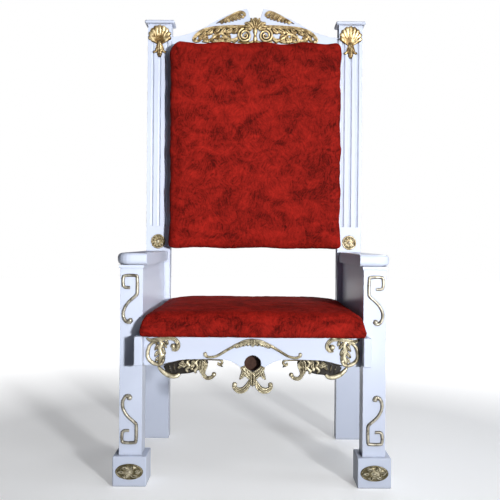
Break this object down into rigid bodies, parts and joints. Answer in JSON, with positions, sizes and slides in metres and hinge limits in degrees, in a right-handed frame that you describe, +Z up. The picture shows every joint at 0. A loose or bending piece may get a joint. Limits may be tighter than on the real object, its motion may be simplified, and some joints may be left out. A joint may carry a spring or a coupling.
{
  "type": "carved ceremonial armchair",
  "caption": "Tall throne-style armchair in white paint with gilt scroll ornaments, a broken-pediment back, square legs on foot blocks and red crushed-velvet cushions.",
  "frame": {"origin": "centre of the overall footprint, on the floor under the seat", "axes": "+Z up from the floor, the chair faces -Y, +X is to the right of a viewer in front of it"},
  "size_m": [0.926, 0.74, 1.787],
  "materials": {
    "white_paint": "gloss white paint on timber",
    "gilt": "antique gilt, dark in the hollows",
    "velvet": "crushed velvet",
    "timber": "bare sawn board"
  },
  "bodies": {
    "root": {"front_leg_left": "white_paint", "front_leg_right": "white_paint", "foot_block_left": "white_paint", "foot_block_right": "white_paint", "armrest_left": "white_paint", "armrest_right": "white_paint", "side_panel_left": "white_paint", "side_panel_right": "white_paint", "rear_post_left": "white_paint", "rear_post_right": "white_paint", "post_cap_left": "white_paint", "post_cap_right": "white_paint", "back_board": "white_paint", "rear_rail": "white_paint", "front_apron": "white_paint", "end_block_left": "white_paint", "end_block_right": "white_paint", "seat_deck": "timber", "seat_cushion": "velvet", "back_cushion": "velvet", "crest_scroll": "gilt", "neck_leaf_left": "gilt", "neck_leaf_right": "gilt", "post_shell_left": "gilt", "post_shell_right": "gilt", "post_rosette_left": "gilt", "post_rosette_right": "gilt", "leg_scroll_upper_left": "gilt", "leg_scroll_upper_right": "gilt", "leg_scroll_lower_left": "gilt", "leg_scroll_lower_right": "gilt", "apron_corner_scroll_left": "gilt", "apron_corner_scroll_right": "gilt", "apron_arch_scroll": "gilt", "hanging_scroll_left": "gilt", "hanging_scroll_right": "gilt", "pendant_fleur": "gilt", "foot_medallion_left": "gilt", "foot_medallion_right": "gilt"}
  },
  "joints": []
}
